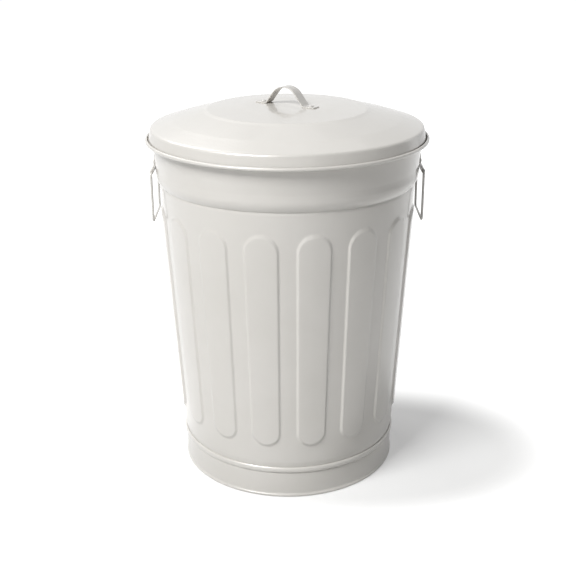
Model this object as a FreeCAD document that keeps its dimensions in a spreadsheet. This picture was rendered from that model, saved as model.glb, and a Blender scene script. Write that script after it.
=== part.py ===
import FreeCAD, Part
import math
import os

import Sketcher

# A round sheet-steel bin with a lift-off lid and two drop handles. Millimetres, +Z up.
# The origin is the centre of the foot on the floor; the handles hang at +X and -X.

FULL_TURN = 360.0
VECTOR = FreeCAD.Vector
UP = VECTOR(0, 0, 1)

HANDLE_SIDES = {"right": 0.0, "left": 180.0}
RIM_CURL_END = -120.0
FOOT_CURL_END = "-250deg"
LID_CURL_END = "470deg"
# Straight facets that stand for a round stretch of the thin rolled sheet.
CURL_OUTSIDE = 6
CURL_INSIDE = 4
CORNER_FACETS = 3
SWAGE_FACETS = 3
FLUTE_END_FACETS = 8
BAIL_FACETS = 12
FLUTE_BLOCK_MARGIN = 3.0
# Shape of a rivet's head: shares of its radius and of its height, from its rim inwards.
RIVET_HEAD = ((1.0, 0.0), (0.85, 0.6), (0.45, 1.0))

# Every size that can be set by itself: alias, number, meaning.
SIZES = (
    ("sheet", 0.7, "thickness of the wall, lid, bottom and foot sheets"),
    ("can_height", 615.0, "floor to the top of the rim"),
    ("wall_low_radius", 192.9, "outer radius of the wall just above the bottom seam"),
    ("wall_high_radius", 219.9, "outer radius of the wall under the swage"),
    ("foot_height", 48.5, "height of the foot band below the bottom seam"),
    ("foot_radius", 192.0, "outer radius of the foot band"),
    ("foot_bead", 6.4, "diameter of the rolled edge at the foot"),
    ("foot_curl_proud", 1.1, "how far the foot curl stands out of the band"),
    ("foot_flat", 0.2, "depth of the flat worn under the foot curl"),
    ("seam_height", 11.0, "height of the rolled bottom seam"),
    ("seam_proud", 2.7, "how far the bottom seam stands out of the wall"),
    ("shoulder_height", 12.0, "height of the wall's round shoulder over the seam"),
    ("pan_dish", 3.0, "how far the middle of the bottom is raised"),
    ("pan_dish_radius", 150.0, "radius of the raised middle of the bottom"),
    ("pan_dish_slope", 12.0, "width of the slope around the raised middle"),
    ("collar_height", 93.0, "height of the collar from the swage up to the rim"),
    ("collar_step", 5.1, "how far the collar stands out of the wall's top"),
    ("collar_flare", 3.6, "how much the collar widens towards the rim"),
    ("swage_height", 24.5, "height of the round swage at the foot of the collar"),
    ("swage_round", 28.0, "radius of the swage's round"),
    ("swage_undercut", 0.9, "how far the wall draws in right under the swage"),
    ("swage_run", 5.0, "height over which the wall draws in under the swage"),
    ("neck_height", 25.0, "height of the neck below the rim's top"),
    ("neck_run", 16.0, "height over which the collar necks in"),
    ("neck_draw", 3.2, "how far the neck draws in below the rim"),
    ("rim_bead", 5.4, "diameter of the rolled edge at the rim"),
    ("flute_count", 16, "pressed flutes around the wall"),
    ("flute_angle", 15.0, "angle that one flute spans, degrees"),
    ("flute_depth", 2.8, "how far a flute stands out of the wall"),
    ("flute_slope", 5.0, "width of the slope around a flute"),
    ("flute_low_gap", 42.0, "bottom seam to the flutes"),
    ("flute_high_gap", 37.0, "flutes to the swage"),
    ("lock_seam_width", 8.0, "width of the folded seam up the back of the wall"),
    ("lock_seam_proud", 1.3, "how far the folded seam stands out"),
    ("lid_side_gap", 0.3, "gap beside the rim at the lid's corner"),
    ("lid_seat_gap", 0.3, "gap between the rim's top and the lid"),
    ("lid_skirt", 21.5, "length of the lid's skirt"),
    ("lid_skirt_angle", 12.6, "flare of the lid's skirt, degrees"),
    ("lid_corner_round", 5.0, "radius of the lid's corner"),
    ("lid_bead", 6.0, "diameter of the rolled edge of the lid"),
    ("lid_outer_ring", 196.0, "radius of the lid's outer ring"),
    ("lid_inner_ring", 138.5, "radius of the lid's inner ring"),
    ("lid_outer_rise", 10.8, "rise of the lid from its corner to the outer ring"),
    ("lid_middle_rise", 13.2, "rise of the lid between its two rings"),
    ("lid_crown_rise", 4.6, "rise of the lid from the inner ring to its middle"),
    ("lid_outer_step", 1.2, "height of the outer ring's step"),
    ("lid_inner_step", 2.4, "height of the inner ring's step"),
    ("lid_ring_width", 7.0, "width of each ring's step"),
    ("lid_pad_radius", 72.0, "radius of the flat middle that carries the handle"),
    ("strap_sheet", 1.8, "thickness of the lid handle's strap"),
    ("strap_width", 20.0, "width of the lid handle's strap"),
    ("strap_rise", 31.5, "height of the handle over the lid"),
    ("strap_crown_round", 33.0, "outer radius of the handle's top"),
    ("strap_foot_round", 5.0, "bend radius where the arch turns out into a foot"),
    ("strap_foot", 22.0, "length of each flat foot of the handle"),
    ("strap_turn", 34.0, "how far the handle is turned from the bin's width, degrees"),
    ("rivet_shank", 4.4, "diameter of a rivet's shank"),
    ("rivet_head", 9.0, "diameter of a rivet's head"),
    ("rivet_head_height", 2.2, "height of a rivet's round head"),
    ("rivet_tail_height", 1.2, "height of a rivet's hammered end"),
    ("rivet_gap", 0.05, "gap around a rivet's shank"),
    ("bail_wire", 4.2, "diameter of a side handle's wire"),
    ("bail_drop", 84.0, "pivot to the grip of a side handle"),
    ("bail_half_span", 33.0, "half the distance between a side handle's legs"),
    ("bail_grip_round", 11.0, "bend radius of the grip's corners"),
    ("bail_pin_round", 6.0, "bend radius where a leg turns into its pin"),
    ("bail_end_gap", 4.0, "gap between the two ends of a side handle's wire"),
    ("bail_fit", 0.1, "running gap around a side handle's wire"),
    ("bracket_sheet", 1.2, "thickness of a side handle's bracket"),
    ("bracket_width", 44.0, "width of a side handle's bracket"),
    ("bracket_plate", 25.0, "pivot to the top edge of the bracket"),
    ("bracket_corner", 5.0, "corner radius of the bracket's plate"),
    ("bracket_rivet_rise", 15.0, "pivot to the rivets of the bracket"),
    ("bracket_rivet_span", 24.0, "distance between the rivets of one bracket"),
    ("bracket_clear", 0.6, "gap between the bracket's barrel and the swage"),
    ("pivot_drop", 74.0, "rim's top down to the side handles' pivots"),
)

# Sizes and places that follow from the ones above: alias, formula.
PLACES = (
    ("seam_top", "size.foot_height + size.seam_height"),
    ("seam_radius", "size.foot_radius + size.seam_proud"),
    ("shoulder_top", "seam_top + size.shoulder_height"),
    ("swage_low", "size.can_height - size.collar_height"),
    ("swage_top", "swage_low + size.swage_height"),
    ("taper", "(size.wall_high_radius - size.wall_low_radius) / (swage_low - seam_top)"),
    ("shoulder_radius", "size.wall_low_radius + taper * size.shoulder_height"),
    ("draw_low", "swage_low - size.swage_run"),
    ("draw_radius", "size.wall_high_radius - taper * size.swage_run"),
    ("root_radius", "size.wall_high_radius - size.swage_undercut"),
    ("collar_low_radius", "size.wall_high_radius + size.collar_step"),
    ("collar_high_radius", "collar_low_radius + size.collar_flare"),
    ("neck_low", "size.can_height - size.neck_height"),
    ("neck_top", "neck_low + size.neck_run"),
    ("neck_radius", "collar_high_radius - size.neck_draw"),
    ("collar_slope", "size.collar_flare / (neck_low - swage_top)"),
    ("collar_tilt", "atan(collar_slope) / 1deg"),
    ("rim_curl", "size.rim_bead / 2"),
    ("rim_bead_radius", "neck_radius + rim_curl - size.sheet"),
    ("rim_bead_height", "size.can_height - rim_curl"),
    ("foot_curl", "size.foot_bead / 2"),
    ("foot_bead_radius", "size.foot_radius + size.foot_curl_proud - foot_curl"),
    ("foot_bead_height", "foot_curl - size.foot_flat"),
    ("lid_corner_radius", "rim_bead_radius + rim_curl + size.lid_side_gap + size.sheet"),
    ("lid_slope", "size.lid_outer_rise / (lid_corner_radius - size.lid_outer_ring)"),
    ("lid_slope_angle", "atan(lid_slope) / 1deg"),
    ("lid_seat", "(rim_curl + size.lid_seat_gap + size.sheet) / cos(lid_slope_angle * 1deg)"),
    ("lid_corner_height",
     "rim_bead_height + lid_seat - lid_slope * (lid_corner_radius - rim_bead_radius)"),
    ("lid_curl", "size.lid_bead / 2"),
    ("skirt_sine", "sin(size.lid_skirt_angle * 1deg)"),
    ("skirt_cosine", "cos(size.lid_skirt_angle * 1deg)"),
    ("lid_bead_radius",
     "lid_corner_radius + size.lid_skirt * skirt_sine + (lid_curl - size.sheet) * skirt_cosine"),
    ("lid_bead_height",
     "lid_corner_height - size.lid_skirt * skirt_cosine + (lid_curl - size.sheet) * skirt_sine"),
    ("outer_ring_height", "lid_corner_height + size.lid_outer_rise"),
    ("outer_ring_top", "outer_ring_height + size.lid_outer_step"),
    ("inner_ring_height", "outer_ring_top + size.lid_middle_rise"),
    ("inner_ring_top", "inner_ring_height + size.lid_inner_step"),
    ("lid_pad_height", "inner_ring_top + size.lid_crown_rise"),
    ("bail_radius", "size.bail_wire / 2"),
    ("barrel_bore", "bail_radius + size.bail_fit"),
    ("barrel_radius", "barrel_bore + size.bracket_sheet"),
    ("pivot_height", "size.can_height - size.pivot_drop"),
    ("swage_chord_out", "collar_low_radius - root_radius"),
    ("swage_chord", "sqrt(swage_chord_out^2 + size.swage_height^2)"),
    ("swage_centre_in", "sqrt(size.swage_round^2 - swage_chord^2 / 4)"),
    ("swage_centre_radius",
     "(root_radius + collar_low_radius) / 2 - swage_centre_in * size.swage_height / swage_chord"),
    ("swage_centre_height",
     "(swage_low + swage_top) / 2 + swage_centre_in * swage_chord_out / swage_chord"),
    ("crest_radius", "swage_centre_radius + size.swage_round"),
    ("pivot_radius", "crest_radius + size.bracket_clear + barrel_radius"),
    ("collar_at_pivot", "collar_low_radius - collar_slope * (swage_top - pivot_height)"),
    ("plate_back", "(pivot_radius - collar_at_pivot) * cos(collar_tilt * 1deg)"),
    ("strap_bend_reach", "size.strap_crown_round + size.strap_foot_round"),
    ("strap_bend_drop",
     "size.strap_sheet + size.strap_foot_round + size.strap_crown_round - size.strap_rise"),
    ("strap_bend_place", "sqrt(strap_bend_reach^2 - strap_bend_drop^2)"),
    ("strap_foot_end", "strap_bend_place + size.strap_foot"),
    ("strap_rivet_place", "strap_bend_place + size.strap_foot / 2"),
    ("shank_radius", "size.rivet_shank / 2"),
    ("shank_hole", "shank_radius + size.rivet_gap"),
    ("head_radius", "size.rivet_head / 2"),
    ("bracket_rivet_depth",
     "(size.bracket_rivet_span / 2 + head_radius)^2 / (2 * (collar_low_radius - size.sheet))"
     " + size.sheet + size.rivet_gap"),
)

doc = FreeCAD.newDocument("bin_with_lid")


def make_sheets():
    size_sheet = doc.addObject("Spreadsheet::Sheet", "size")
    for row, (alias, number, meaning) in enumerate(SIZES, start=1):
        size_sheet.set(f"A{row}", meaning)
        size_sheet.set(f"B{row}", str(number))
        size_sheet.setAlias(f"B{row}", alias)
    doc.recompute()
    place_sheet = doc.addObject("Spreadsheet::Sheet", "place")
    for row, (alias, formula) in enumerate(PLACES, start=1):
        place_sheet.set(f"A{row}", "=" + formula)
        place_sheet.setAlias(f"A{row}", alias)
        doc.recompute()
    return size_sheet, place_sheet


size, place = make_sheets()


def number(expression):
    """The value of a formula in the two sheets, as a plain number."""
    value = size.evalExpression(expression)
    return float(getattr(value, "Value", value))


# ---------------------------------------------------------------- sketches and features

def new_body(label):
    body = doc.addObject("PartDesign::Body", label)
    body.Label = label
    return body


def origin_plane(body, plane):
    return next(f for f in body.Origin.OriginFeatures if f.Role == plane)


def new_sketch(body, name, plane, offset=None):
    """A sketch on one of the body's own origin planes, set off from it by a formula."""
    sketch = body.newObject("Sketcher::SketchObject", name)
    sketch.AttachmentSupport = [(origin_plane(body, plane), "")]
    sketch.MapMode = "FlatFace"
    if offset is not None:
        sketch.setExpression("AttachmentOffset.Base.z", offset)
    return sketch


def hold(sketch, kind, index, end, formula):
    """Pin one coordinate of a point to a formula, or to the axis where that is 0."""
    if formula == "0":
        axis = -2 if kind == "DistanceX" else -1
        sketch.addConstraint(Sketcher.Constraint("PointOnObject", index, end, axis))
        return
    constraint = sketch.addConstraint(Sketcher.Constraint(kind, index, end, number(formula)))
    sketch.setExpression(f"Constraints[{constraint}]", formula)


def arc_through(start, stop, radius, turn):
    """The arc of under a half circle from start to stop; turn is 1 anticlockwise, else -1."""
    chord = stop - start
    height = math.sqrt(max(radius ** 2 - (chord.Length / 2) ** 2, 0))
    side = VECTOR(-chord.y, chord.x, 0).normalize() * turn
    centre = start + chord / 2 + side * height
    middle = centre - side * radius
    return Part.Arc(start, middle, stop), middle


def draw(sketch, corners, closed=True):
    """An outline through the corners. A corner is (across, up) after a straight run, or
    (across, up, radius, turn) after an arc; all but turn are formulas."""
    points = [VECTOR(number(c[0]), number(c[1]), 0) for c in corners]
    count = len(corners)
    first = sketch.GeometryCount
    runs = count if closed else count - 1
    for index in range(runs):
        start, stop = points[index], points[(index + 1) % count]
        corner = corners[(index + 1) % count]
        if len(corner) == 2:
            sketch.addGeometry(Part.LineSegment(start, stop))
        else:
            arc, _ = arc_through(start, stop, number(corner[2]), corner[3])
            sketch.addGeometry(arc)

    def end_of(index, at_start):
        corner = corners[(index + 1) % count]
        backwards = len(corner) == 4 and corner[3] < 0
        return 1 if at_start != backwards else 2

    for index in range(runs):
        geometry = first + index
        if index or closed:
            before = (index - 1) % runs
            sketch.addConstraint(Sketcher.Constraint(
                "Coincident", first + before, end_of(before, False), geometry, end_of(index, True)))
        hold(sketch, "DistanceX", geometry, end_of(index, True), corners[index][0])
        hold(sketch, "DistanceY", geometry, end_of(index, True), corners[index][1])
        if not closed and index == runs - 1:
            hold(sketch, "DistanceX", geometry, end_of(index, False), corners[-1][0])
            hold(sketch, "DistanceY", geometry, end_of(index, False), corners[-1][1])
        corner = corners[(index + 1) % count]
        if len(corner) == 4:
            constraint = sketch.addConstraint(
                Sketcher.Constraint("Radius", geometry, number(corner[2])))
            sketch.setExpression(f"Constraints[{constraint}]", corner[2])


def draw_circle(sketch, across, up, radius):
    circle = Part.Circle(VECTOR(number(across), number(up), 0), VECTOR(0, 0, 1), number(radius))
    index = sketch.addGeometry(circle)
    hold(sketch, "DistanceX", index, 3, across)
    hold(sketch, "DistanceY", index, 3, up)
    constraint = sketch.addConstraint(Sketcher.Constraint("Radius", index, number(radius)))
    sketch.setExpression(f"Constraints[{constraint}]", radius)


def revolve(body, sketch, axis="V_Axis"):
    feature = body.newObject("PartDesign::Revolution", body.Name + "_turned")
    feature.Profile = sketch
    feature.ReferenceAxis = (sketch, [axis])
    feature.Angle = FULL_TURN
    sketch.Visibility = False
    return feature


def pad(body, sketch, length, name):
    feature = body.newObject("PartDesign::Pad", name)
    feature.Profile = sketch
    feature.SideType = "Symmetric"
    feature.setExpression("Length", length)
    return feature


def drill(body, sketch, depth, name):
    """Cut the sketch's circles both ways through the body, and make sure that it cut."""
    doc.recompute()
    before = body.Shape.Volume
    feature = body.newObject("PartDesign::Pocket", name)
    feature.Profile = sketch
    feature.SideType = "Symmetric"
    feature.setExpression("Length", depth)
    doc.recompute()
    if body.Shape.Volume >= before:
        raise RuntimeError(name + " cut nothing")
    return feature


# ---------------------------------------------------------------- the wall

def wall_outline(inset):
    """Corners of the wall's outer line from the bottom seam to the rim, moved in by inset."""
    def at(radius, height):
        return VECTOR(number(radius) - inset, 0, number(height))

    centre = at("place.swage_centre_radius", "place.swage_centre_height") + VECTOR(inset, 0, 0)
    first = at("place.root_radius", "place.swage_low") - centre
    last = at("place.collar_low_radius", "place.swage_top") - centre
    return [
        at("size.foot_radius", "size.foot_height + size.sheet"),
        at("size.foot_radius", "place.seam_top"),
        at("place.shoulder_radius", "place.shoulder_top"),
        at("place.draw_radius", "place.draw_low"),
        *round_points(centre, first, last, SWAGE_FACETS),
        at("place.collar_high_radius", "place.neck_low"),
        at("place.neck_radius", "place.neck_top"),
        at("place.neck_radius", "place.rim_bead_height"),
    ]


def round_points(centre, first, last, facets):
    """Points from centre + first to centre + last on a round about the centre, in the XZ plane."""
    start = math.atan2(first.z, first.x)
    sweep = math.atan2(last.z, last.x) - start
    points = []
    for index in range(facets + 1):
        share = index / facets
        angle = start + sweep * share
        reach = first.Length + (last.Length - first.Length) * share
        points.append(centre + VECTOR(reach * math.cos(angle), 0, reach * math.sin(angle)))
    return points


def turned_solid(outline):
    """The full solid inside an outline, closed along the axis."""
    axis = [VECTOR(0, 0, outline[-1].z), VECTOR(0, 0, outline[0].z)]
    wire = Part.makePolygon(outline + axis + outline[:1])
    return Part.Face(wire).revolve(VECTOR(0, 0, 0), UP, FULL_TURN)


def flute_outline(distance):
    """One flute's outline in a plane parallel to the wall's face, at a distance out from it:
    two sides that follow the taper and two round ends."""
    half_angle = math.radians(number("size.flute_angle") / 2)
    length = number("place.swage_low - place.seam_top")
    draft = number("size.flute_slope / size.flute_depth")
    points = []
    for radius, gap, turn in (
        (number("size.wall_low_radius"), number("size.flute_low_gap"), -1),
        (number("size.wall_high_radius"), number("size.flute_high_gap"), 1),
    ):
        # The wall curves away under the flute's sides, which widens a drafted block there,
        # so the block starts that much narrower.
        half = radius * math.tan(half_angle)
        half -= draft * half ** 2 / (2 * radius)
        centre = gap + half if turn < 0 else length - gap - half
        half -= draft * distance
        for index in range(FLUTE_END_FACETS + 1):
            angle = math.pi * index / FLUTE_END_FACETS
            points.append(VECTOR(distance, turn * half * math.cos(angle),
                                 centre + turn * half * math.sin(angle)))
    return Part.makePolygon(points + points[:1])


def flute_blocks(inset):
    """Drafted blocks around the wall whose outer parts are the flutes."""
    reach = number("size.flute_depth") + FLUTE_BLOCK_MARGIN
    block = Part.makeLoft([flute_outline(-reach), flute_outline(reach)], True, True)
    block.rotate(VECTOR(0, 0, 0), VECTOR(0, 1, 0), math.degrees(math.atan(number("place.taper"))))
    block.translate(VECTOR(number("size.wall_low_radius") - inset, 0, number("place.seam_top")))
    count = int(number("size.flute_count"))
    pitch = FULL_TURN / count
    return [block.rotated(VECTOR(0, 0, 0), UP, pitch * (k + 0.5)) for k in range(count)]


def fluted_solid(inset):
    """The wall's full solid with its flutes, moved inwards by inset all over."""
    plain = turned_solid(wall_outline(inset))
    crown = Part.makeCone(
        number("size.wall_low_radius + size.flute_depth") - inset,
        number("size.wall_high_radius + size.flute_depth") - inset,
        number("place.swage_low - place.seam_top"),
        VECTOR(0, 0, number("place.seam_top")),
    )
    flutes = [crown.common(block) for block in flute_blocks(inset)]
    return plain.fuse(flutes).removeSplitter()


def rim_curl():
    """The sheet rolled outwards at the rim, open where its edge comes back to the wall."""
    centre = VECTOR(number("place.rim_bead_radius"), 0, number("place.rim_bead_height"))
    outer = number("place.rim_curl")

    def ring(radius, facets):
        angles = [math.radians(180 + (RIM_CURL_END - 180) * k / facets) for k in range(facets + 1)]
        return [centre + VECTOR(radius * math.cos(a), 0, radius * math.sin(a)) for a in angles]

    section = ring(outer, CURL_OUTSIDE) + ring(outer - number("size.sheet"), CURL_INSIDE)[::-1]
    return Part.Face(Part.makePolygon(section + section[:1])).revolve(
        VECTOR(0, 0, 0), UP, FULL_TURN)


def lock_seam():
    """The folded seam up the back: a narrow strip that follows the wall's own outline."""
    outline = wall_outline(-number("size.lock_seam_proud"))
    outline += wall_outline(number("size.sheet") / 2)[::-1]
    angle = math.degrees(number("size.lock_seam_width / size.wall_low_radius"))
    strip = Part.Face(Part.makePolygon(outline + outline[:1])).revolve(
        VECTOR(0, 0, 0), UP, angle)
    bottom = number("place.seam_top + size.lock_seam_width")
    reach = number("size.can_height")
    slab = Part.makeBox(2 * reach, 2 * reach, number("place.neck_low") - bottom,
                        VECTOR(-reach, -reach, bottom))
    return strip.common(slab).rotated(VECTOR(0, 0, 0), UP, 90 - angle / 2)


def bracket_frame(side):
    """The frame of one side handle's bracket: at its pivot, leaning with the collar."""
    frame = FreeCAD.Placement(
        VECTOR(number("place.pivot_radius"), 0, number("place.pivot_height")),
        FreeCAD.Rotation(VECTOR(0, 1, 0), number("place.collar_tilt")),
    )
    return FreeCAD.Placement(VECTOR(0, 0, 0), FreeCAD.Rotation(UP, side)).multiply(frame)


def bracket_rivet_places():
    """Where the rivets of a bracket sit in the bracket's frame."""
    half = number("size.bracket_rivet_span / 2")
    rise = number("size.bracket_rivet_rise")
    return [VECTOR(-number("place.plate_back"), across, rise) for across in (-half, half)]


def shank_hole(length):
    return Part.makeCylinder(number("place.shank_hole"), length,
                             VECTOR(-length / 2, 0, 0), VECTOR(1, 0, 0))


def make_body_shell():
    shell = fluted_solid(0).fuse(lock_seam())
    hollow = fluted_solid(number("size.sheet"))
    overrun = Part.makeCylinder(
        number("size.foot_radius - size.sheet"), number("size.seam_height"),
        VECTOR(0, 0, number("size.foot_height + size.sheet - size.seam_height")))
    shell = shell.cut([hollow, overrun]).fuse(rim_curl())
    holes = []
    for side in HANDLE_SIDES.values():
        for spot in bracket_rivet_places():
            hole = shank_hole(number("size.rivet_head"))
            hole.translate(spot)
            hole.Placement = bracket_frame(side).multiply(hole.Placement)
            holes.append(hole)
    shell = shell.cut(holes).removeSplitter()
    feature = doc.addObject("Part::Feature", "body_shell")
    feature.Label = "body_shell"
    feature.Shape = shell.Solids[0] if len(shell.Solids) == 1 else shell
    return feature


# ---------------------------------------------------------------- foot and bottom

def make_bottom_pan():
    """The bottom sheet, raised in the middle, its edge rolled outwards round the wall's."""
    body = new_body("bottom_pan")
    sketch = new_sketch(body, "bottom_pan_section", "XZ_Plane")
    low, top = "size.foot_height", "size.foot_height + size.sheet"
    raised = top + " + size.pan_dish"
    slope_end = "size.pan_dish_radius + size.pan_dish_slope"
    turn_in = "size.foot_radius + size.seam_proud / 2"
    draw(sketch, (
        ("0", raised),
        ("0", low + " + size.pan_dish"),
        ("size.pan_dish_radius", low + " + size.pan_dish"),
        (slope_end, low),
        (turn_in, low),
        ("place.seam_radius", low + " + size.seam_height / 4"),
        ("place.seam_radius", "place.seam_top - size.seam_height / 4"),
        (turn_in, "place.seam_top"),
        ("size.foot_radius", "place.seam_top"),
        ("size.foot_radius", top),
        (slope_end, top),
        ("size.pan_dish_radius", raised),
    ))
    revolve(body, sketch)
    return body


def make_foot_band():
    """The hoop that carries the bin, its lower edge rolled inwards."""
    body = new_body("foot_band")
    sketch = new_sketch(body, "foot_band_section", "XZ_Plane")
    outside, inside = "size.foot_radius", "size.foot_radius - size.sheet"
    across = "({} - place.foot_bead_radius)"
    # The curl takes over where the band's two faces meet its rounds, and it is worn flat below.
    first = "acos(" + across.format(outside) + " / place.foot_curl)"
    first_inside = "acos(" + across.format(inside) + " / (place.foot_curl - size.sheet))"
    worn = "acos(place.foot_bead_height / place.foot_curl)"
    place = ("place.foot_bead_radius", "place.foot_bead_height")
    outer = curl(*place, "place.foot_curl", first, f"{worn} - 90deg", CURL_OUTSIDE // 2)
    outer += curl(*place, "place.foot_curl", f"-{worn} - 90deg", FOOT_CURL_END, CURL_OUTSIDE // 2)
    inner = curl(*place, "place.foot_curl - size.sheet", first_inside, FOOT_CURL_END, CURL_INSIDE)
    draw(sketch, [(inside, "size.foot_height"), (outside, "size.foot_height")]
         + outer + inner[::-1])
    revolve(body, sketch)
    return body


def curl(centre_radius, centre_height, radius, first, last, facets):
    """Corners of a round in straight facets between two angle formulas."""
    corners = []
    for index in range(facets + 1):
        share = index / facets
        angle = f"(({first}) * {1 - share} + ({last}) * {share})"
        corners.append((f"{centre_radius} + ({radius}) * cos({angle})",
                        f"{centre_height} + ({radius}) * sin({angle})"))
    return corners


# ---------------------------------------------------------------- lid

def make_lid_shell():
    """The domed lid: flat pad, two ring steps, flared skirt and a curled edge."""
    body = new_body("lid_shell")
    sketch = new_sketch(body, "lid_section", "XZ_Plane")
    half_ring = "size.lid_ring_width / 2"
    curl_place = ("place.lid_bead_radius", "place.lid_bead_height")
    sheet = "size.sheet"
    corner_r, corner_z = "place.lid_corner_radius", "place.lid_corner_height"
    # The corner's round starts and ends this far from where dome and skirt would meet.
    reach = ("(size.lid_corner_round * tan((90 - size.lid_skirt_angle"
             " - place.lid_slope_angle) * 0.5deg))")
    dome_sine, dome_cosine = "sin(place.lid_slope_angle * 1deg)", "cos(place.lid_slope_angle * 1deg)"
    corner_place = (
        f"{corner_r} - {reach} * {dome_cosine} - size.lid_corner_round * {dome_sine}",
        f"{corner_z} + {reach} * {dome_sine} - size.lid_corner_round * {dome_cosine}",
    )
    outer_slope = f"({corner_r} - size.lid_outer_ring - {half_ring})"
    top = [
        ("size.lid_pad_radius", "place.lid_pad_height"),
        (f"size.lid_inner_ring - {half_ring}", "place.inner_ring_top"),
        (f"size.lid_inner_ring + {half_ring}", "place.inner_ring_height"),
        (f"size.lid_outer_ring - {half_ring}", "place.outer_ring_top"),
        (f"size.lid_outer_ring + {half_ring}", f"{corner_z} + place.lid_slope * {outer_slope}"),
    ]
    under = [(across, f"{up} - {sheet}") for across, up in top]
    turn = ("(90 - place.lid_slope_angle) * 1deg", "size.lid_skirt_angle * 1deg", CORNER_FACETS)
    top += curl(*corner_place, "size.lid_corner_round", *turn)
    under += curl(*corner_place, f"size.lid_corner_round - {sheet}", *turn)
    start = "(180 + size.lid_skirt_angle) * 1deg"
    outside = curl(*curl_place, "place.lid_curl", start, LID_CURL_END, CURL_OUTSIDE)
    inside = curl(*curl_place, "place.lid_curl - size.sheet", start, LID_CURL_END, CURL_INSIDE)
    middle = [("0", "place.lid_pad_height"), ("0", f"place.lid_pad_height - {sheet}")]
    corners = middle + under + outside + inside[::-1] + top[::-1]
    draw(sketch, corners)
    revolve(body, sketch)
    holes = new_sketch(body, "lid_rivet_holes", "XY_Plane", "place.lid_pad_height")
    for side in ("", "-"):
        along = f"{side}place.strap_rivet_place"
        draw_circle(holes, f"{along} * cos(size.strap_turn * 1deg)",
                    f"{along} * -sin(size.strap_turn * 1deg)", "place.shank_hole")
    drill(body, holes, "size.rivet_head", "lid_rivet_drilling")
    return body


def make_lid_handle():
    """A strap bent into a round arch, with a flat foot at each end for its rivet."""
    body = new_body("lid_handle")
    sketch = new_sketch(body, "lid_handle_section", "XZ_Plane")
    base = "place.lid_pad_height"
    top = base + " + size.strap_sheet"
    end, bend = "place.strap_foot_end", "place.strap_bend_place"
    centre = f"{base} + size.strap_rise - size.strap_crown_round"
    inner_crown = "size.strap_crown_round - size.strap_sheet"
    outer_foot = "size.strap_foot_round + size.strap_sheet"

    def meeting(side, radius):
        """Where the crown's arc runs into a foot's bend."""
        return (f"{side}({radius}) * place.strap_bend_place / place.strap_bend_reach",
                f"{centre} + ({radius}) * place.strap_bend_drop / place.strap_bend_reach")

    draw(sketch, (
        (end, top),
        (end, base),
        (bend, base),
        meeting("", inner_crown) + (outer_foot, -1),
        meeting("-", inner_crown) + (inner_crown, 1),
        ("-" + bend, base, outer_foot, -1),
        ("-" + end, base),
        ("-" + end, top),
        ("-" + bend, top),
        meeting("-", "size.strap_crown_round") + ("size.strap_foot_round", 1),
        meeting("", "size.strap_crown_round") + ("size.strap_crown_round", -1),
        (bend, top, "size.strap_foot_round", 1),
    ))
    pad(body, sketch, "size.strap_width", "lid_handle_strap")
    holes = new_sketch(body, "lid_handle_holes", "XY_Plane", base)
    for side in ("", "-"):
        draw_circle(holes, side + "place.strap_rivet_place", "0", "place.shank_hole")
    drill(body, holes, "size.rivet_head", "lid_handle_drilling")
    return turned(body, -number("size.strap_turn"))


def turned(body, angle):
    body.Placement = FreeCAD.Placement(VECTOR(0, 0, 0), FreeCAD.Rotation(UP, angle))
    return body


# ---------------------------------------------------------------- rivets

def make_rivets(label, plane, axis, mirror, offsets, head_face, tail_face):
    """A pair of rivets: one turned about the axis of its own sketch, and its mirror image.
    Heads point along the axis; both faces are formulas measured along it."""
    body = new_body(label)
    body.AllowCompound = True
    sketch = new_sketch(body, label + "_section", plane)
    for direction, formula in offsets.items():
        sketch.setExpression("AttachmentOffset.Base." + direction, formula)
    head = [(f"place.head_radius * {across}", f"{head_face} + size.rivet_head_height * {up}")
            for across, up in RIVET_HEAD]
    tail_end = f"{tail_face} - size.rivet_tail_height"
    profile = [
        ("0", tail_end),
        ("place.head_radius * 0.8", tail_end),
        ("place.head_radius", tail_face),
        ("place.shank_radius", tail_face),
        ("place.shank_radius", head_face),
        *head,
        ("0", f"{head_face} + size.rivet_head_height"),
    ]
    if axis == "H_Axis":
        profile = [(up, across) for across, up in profile]
    draw(sketch, profile)
    rivet = revolve(body, sketch, axis)
    pair = body.newObject("PartDesign::Mirrored", label + "_pair")
    pair.Originals = [rivet]
    pair.MirrorPlane = (origin_plane(body, mirror), [""])
    body.Tip = pair
    return body


def make_lid_rivets():
    pad_top = "place.lid_pad_height"
    body = make_rivets(
        "lid_handle_rivets", "XZ_Plane", "V_Axis", "YZ_Plane", {"x": "place.strap_rivet_place"},
        pad_top + " + size.strap_sheet + size.rivet_gap",
        pad_top + " - size.sheet - size.rivet_gap",
    )
    return turned(body, -number("size.strap_turn"))


def make_bracket_rivets():
    """The four rivets of the two brackets: a pair at each side, in one group."""
    pairs = []
    for side, spin in HANDLE_SIDES.items():
        pair = make_rivets(
            side + "_pair", "XZ_Plane", "H_Axis", "XZ_Plane",
            {"y": "size.bracket_rivet_rise", "z": "size.bracket_rivet_span / 2"},
            "-place.plate_back + size.bracket_sheet + size.rivet_gap",
            "-place.plate_back - place.bracket_rivet_depth",
        )
        pair.Placement = bracket_frame(spin)
        pairs.append(pair)
    group = doc.addObject("Part::Compound", "bracket_rivets")
    group.Label = "bracket_rivets"
    group.Links = pairs
    return group


# ---------------------------------------------------------------- side handles

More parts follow.
